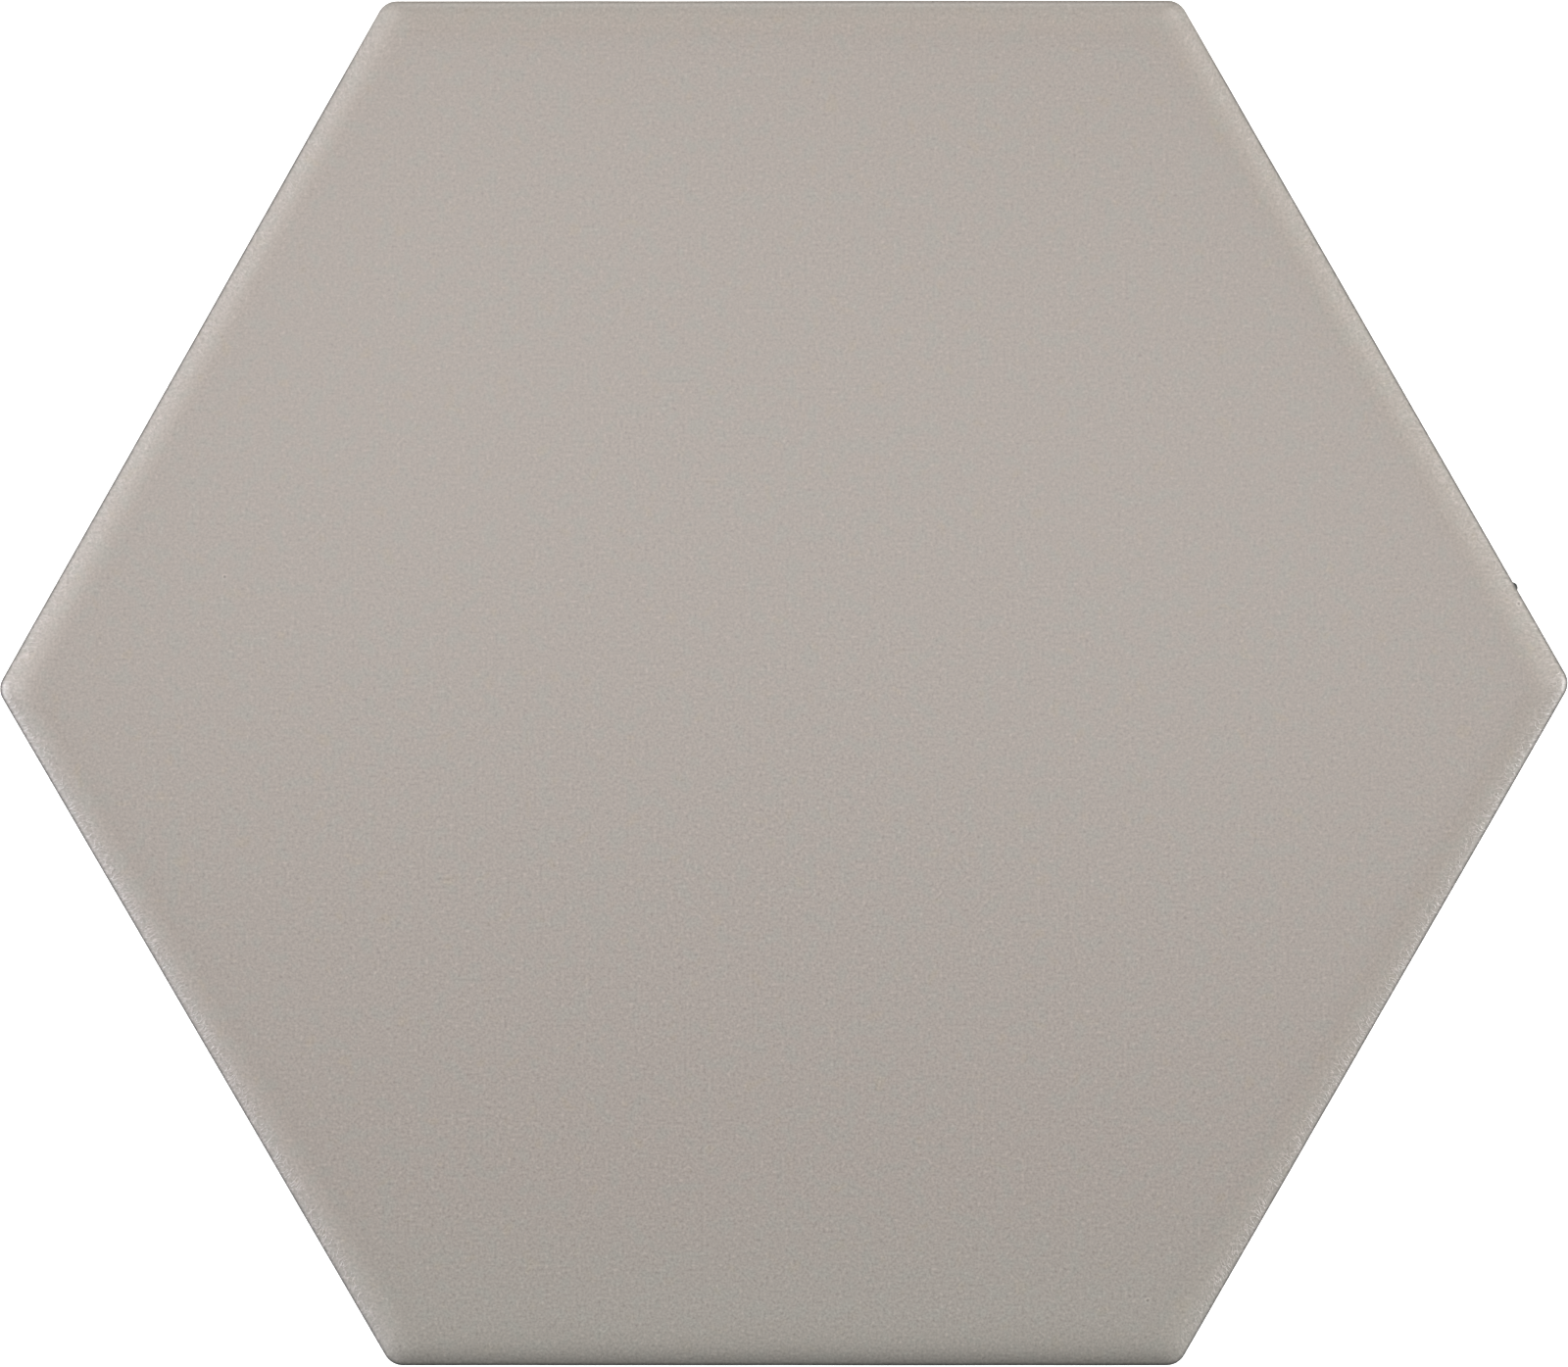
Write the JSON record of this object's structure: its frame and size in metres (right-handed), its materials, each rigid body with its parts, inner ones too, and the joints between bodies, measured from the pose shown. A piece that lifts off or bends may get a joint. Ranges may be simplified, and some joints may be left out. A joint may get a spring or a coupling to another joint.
{
  "type": "hexagon floor tile",
  "caption": "Regular hexagonal ceramic floor tile with a satin-matt glaze, a softly rounded cushion edge, relieved lower sides and a keyed back.",
  "frame": {"origin": "centre of the keyed back, on the plane that the tile lies on", "axes": "+Z out of the walking face; two corners point to +X and -X, two flat sides face +Y and -Y"},
  "size_m": [0.1162, 0.101, 0.009],
  "materials": {
    "glaze": "satin"
  },
  "bodies": {
    "root": {"hexagon_tile": "glaze"}
  },
  "joints": []
}
